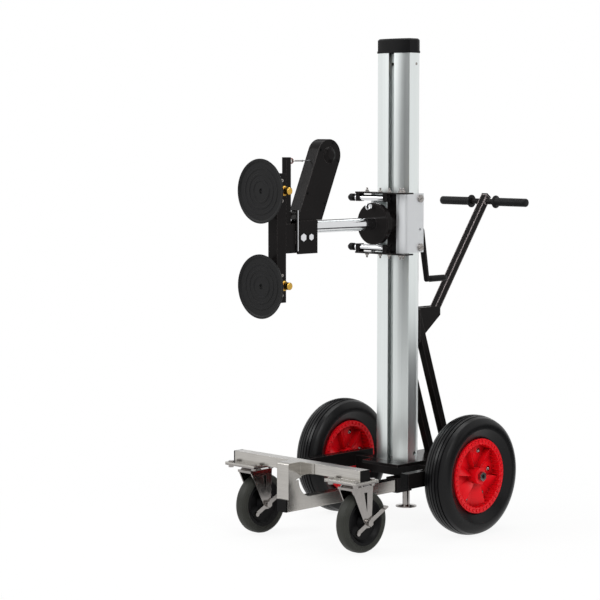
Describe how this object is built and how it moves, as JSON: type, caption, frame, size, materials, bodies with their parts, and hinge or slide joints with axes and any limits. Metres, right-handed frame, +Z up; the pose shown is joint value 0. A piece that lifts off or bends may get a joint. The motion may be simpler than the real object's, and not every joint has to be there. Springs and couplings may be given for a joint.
{
  "type": "glass panel lifter",
  "caption": "Wheeled mast with a crank-raised carriage, turning arm and tilting suction cups, for lifting and setting flat panels.",
  "frame": {"origin": "middle of the floor area under the machine, on the floor", "axes": "+Z up, -Y is the front where the suction cups face, +X is the machine's side seen at the right when looking along +Y"},
  "size_m": [0.692, 1.128, 1.642],
  "materials": {
    "black_paint": "satin black powder coat",
    "mast_aluminium": "satin anodised",
    "stainless": "brushed",
    "zinc": "bright zinc plate",
    "chrome": "polished",
    "silver_paint": "satin silver",
    "red_plastic": "gloss red",
    "black_plastic": "fine matt",
    "tyre_rubber": "ribbed",
    "caster_rubber": "smooth dark grey",
    "cup_rubber": "smooth black",
    "grip_rubber": "soft matt",
    "brass": "turned",
    "eye_plate": "reddish coat",
    "wire_steel": "stranded",
    "white_nylon": "natural nylon"
  },
  "bodies": {
    "chassis": {"base_plate": "black_paint", "cross_tube": "black_paint", "side_tubes": "black_paint", "axle_stubs": "zinc", "receiver_tube": "black_paint", "drawbar": "stainless", "tube_plugs": "black_plastic", "front_bracket": "stainless", "front_beam": "stainless", "caster_plates": "zinc", "caster_bolts": "zinc", "mast": "mast_aluminium", "mast_cap": "black_plastic", "sheave_pin": "zinc", "lift_rope": "wire_steel", "winch_housing": "black_paint", "handle_bracket": "black_paint", "handle_stem": "black_paint", "handle_grips": "grip_rubber", "handle_braces": "black_paint"},
    "wheel_left": {"tyre_left": "tyre_rubber", "rim_left": "red_plastic"},
    "wheel_right": {"tyre_right": "tyre_rubber", "rim_right": "red_plastic"},
    "foot": {"parking_foot": "zinc"},
    "swivel_left": {"caster_fork_left": "zinc"},
    "swivel_right": {"caster_fork_right": "zinc"},
    "caster_left": {"caster_tyre_left": "caster_rubber", "caster_core_left": "black_plastic"},
    "caster_right": {"caster_tyre_right": "caster_rubber", "caster_core_right": "black_plastic"},
    "brake_left": {"caster_brake_left": "zinc"},
    "brake_right": {"caster_brake_right": "zinc"},
    "sheave": {"top_sheave": "white_nylon"},
    "winch": {"winch_drum": "zinc", "crank_arm": "black_paint"},
    "crank_handle": {"crank_grip": "black_plastic"},
    "carriage": {"carriage_sides": "silver_paint", "carriage_front": "black_paint", "rod_plates": "black_paint", "mast_follower": "white_nylon", "guide_screws": "zinc", "hub_housing": "black_paint", "lock_rods": "chrome", "lock_knobs": "black_plastic"},
    "arm": {"arm_tube": "chrome", "index_disc": "black_paint", "head_block": "black_paint", "balancer_case": "black_paint", "balancer_cover": "black_paint", "balance_wire": "wire_steel", "tilt_pin": "chrome"},
    "plunger": {"index_plunger": "chrome"},
    "tilt": {"cup_frame": "black_paint", "cup_mounts": "cup_rubber", "cup_pads": "cup_rubber", "snap_hook": "zinc", "lever_eye": "eye_plate"},
    "valve_up": {"valve_upper": "brass"},
    "valve_low": {"valve_lower": "brass"}
  },
  "joints": [
    {"name": "wheel_left_spin", "type": "hinge", "parent": "chassis", "child": "wheel_left", "pos_m": [-0.2925, 0.12775, 0.2], "axis": [1, 0, 0], "continuous": true},
    {"name": "wheel_right_spin", "type": "hinge", "parent": "chassis", "child": "wheel_right", "pos_m": [0.2925, 0.12775, 0.2], "axis": [1, 0, 0], "continuous": true},
    {"name": "swivel_left_turn", "type": "hinge", "parent": "chassis", "child": "swivel_left", "pos_m": [-0.228, -0.38325, 0.1], "axis": [0, 0, 1], "continuous": true},
    {"name": "swivel_right_turn", "type": "hinge", "parent": "chassis", "child": "swivel_right", "pos_m": [0.228, -0.38325, 0.1], "axis": [0, 0, 1], "continuous": true},
    {"name": "caster_left_spin", "type": "hinge", "parent": "swivel_left", "child": "caster_left", "pos_m": [-0.228, -0.33825, 0.1], "axis": [1, 0, 0], "continuous": true},
    {"name": "caster_right_spin", "type": "hinge", "parent": "swivel_right", "child": "caster_right", "pos_m": [0.228, -0.33825, 0.1], "axis": [1, 0, 0], "continuous": true},
    {"name": "brake_left_press", "type": "hinge", "parent": "swivel_left", "child": "brake_left", "pos_m": [-0.228, -0.33825, 0.1], "axis": [1, 0, 0], "range_deg": [-32, 0]},
    {"name": "brake_right_press", "type": "hinge", "parent": "swivel_right", "child": "brake_right", "pos_m": [0.228, -0.33825, 0.1], "axis": [1, 0, 0], "range_deg": [-32, 0]},
    {"name": "foot_slide", "type": "slide", "parent": "chassis", "child": "foot", "axis": [0, 0, 1], "range_m": [-0.05, 0]},
    {"name": "carriage_lift", "type": "slide", "parent": "chassis", "child": "carriage", "axis": [0, 0, 1], "range_m": [-0.42, 0.4], "deforming": ["lift_rope"]},
    {"name": "sheave_spin", "type": "hinge", "parent": "chassis", "child": "sheave", "pos_m": [0.025, 0.09675, 1.558], "axis": [1, 0, 0], "range_deg": [-1270, 1270]},
    {"name": "crank_turn", "type": "hinge", "parent": "chassis", "child": "winch", "pos_m": [0, 0.20975, 0.995], "axis": [0, 1, 0], "range_deg": [-970, 970]},
    {"name": "crank_grip_spin", "type": "hinge", "parent": "winch", "child": "crank_handle", "pos_m": [0.02581, 0.20975, 0.83203], "axis": [0, 1, 0], "continuous": true},
    {"name": "arm_turn", "type": "hinge", "parent": "carriage", "child": "arm", "pos_m": [0, -0.01825, 1.028], "axis": [0, 1, 0], "continuous": true},
    {"name": "cup_tilt", "type": "hinge", "parent": "arm", "child": "tilt", "pos_m": [0, -0.40325, 0.998], "axis": [1, 0, 0], "range_deg": [0, 90], "deforming": ["balance_wire"]},
    {"name": "plunger_pull", "type": "slide", "parent": "arm", "child": "plunger", "axis": [0, -1, 0], "range_m": [0, 0.01], "stiffness_N_per_m": 400},
    {"name": "valve_up_press", "type": "slide", "parent": "tilt", "child": "valve_up", "axis": [-1, 0, 0], "range_m": [0, 0.0035], "stiffness_N_per_m": 400},
    {"name": "valve_low_press", "type": "slide", "parent": "tilt", "child": "valve_low", "axis": [-1, 0, 0], "range_m": [0, 0.0035], "stiffness_N_per_m": 400}
  ],
  "couplings": [
    {"joint": "crank_turn", "follows": "carriage_lift", "rad_per_m": 40},
    {"joint": "sheave_spin", "follows": "carriage_lift", "rad_per_m": -52.632}
  ]
}
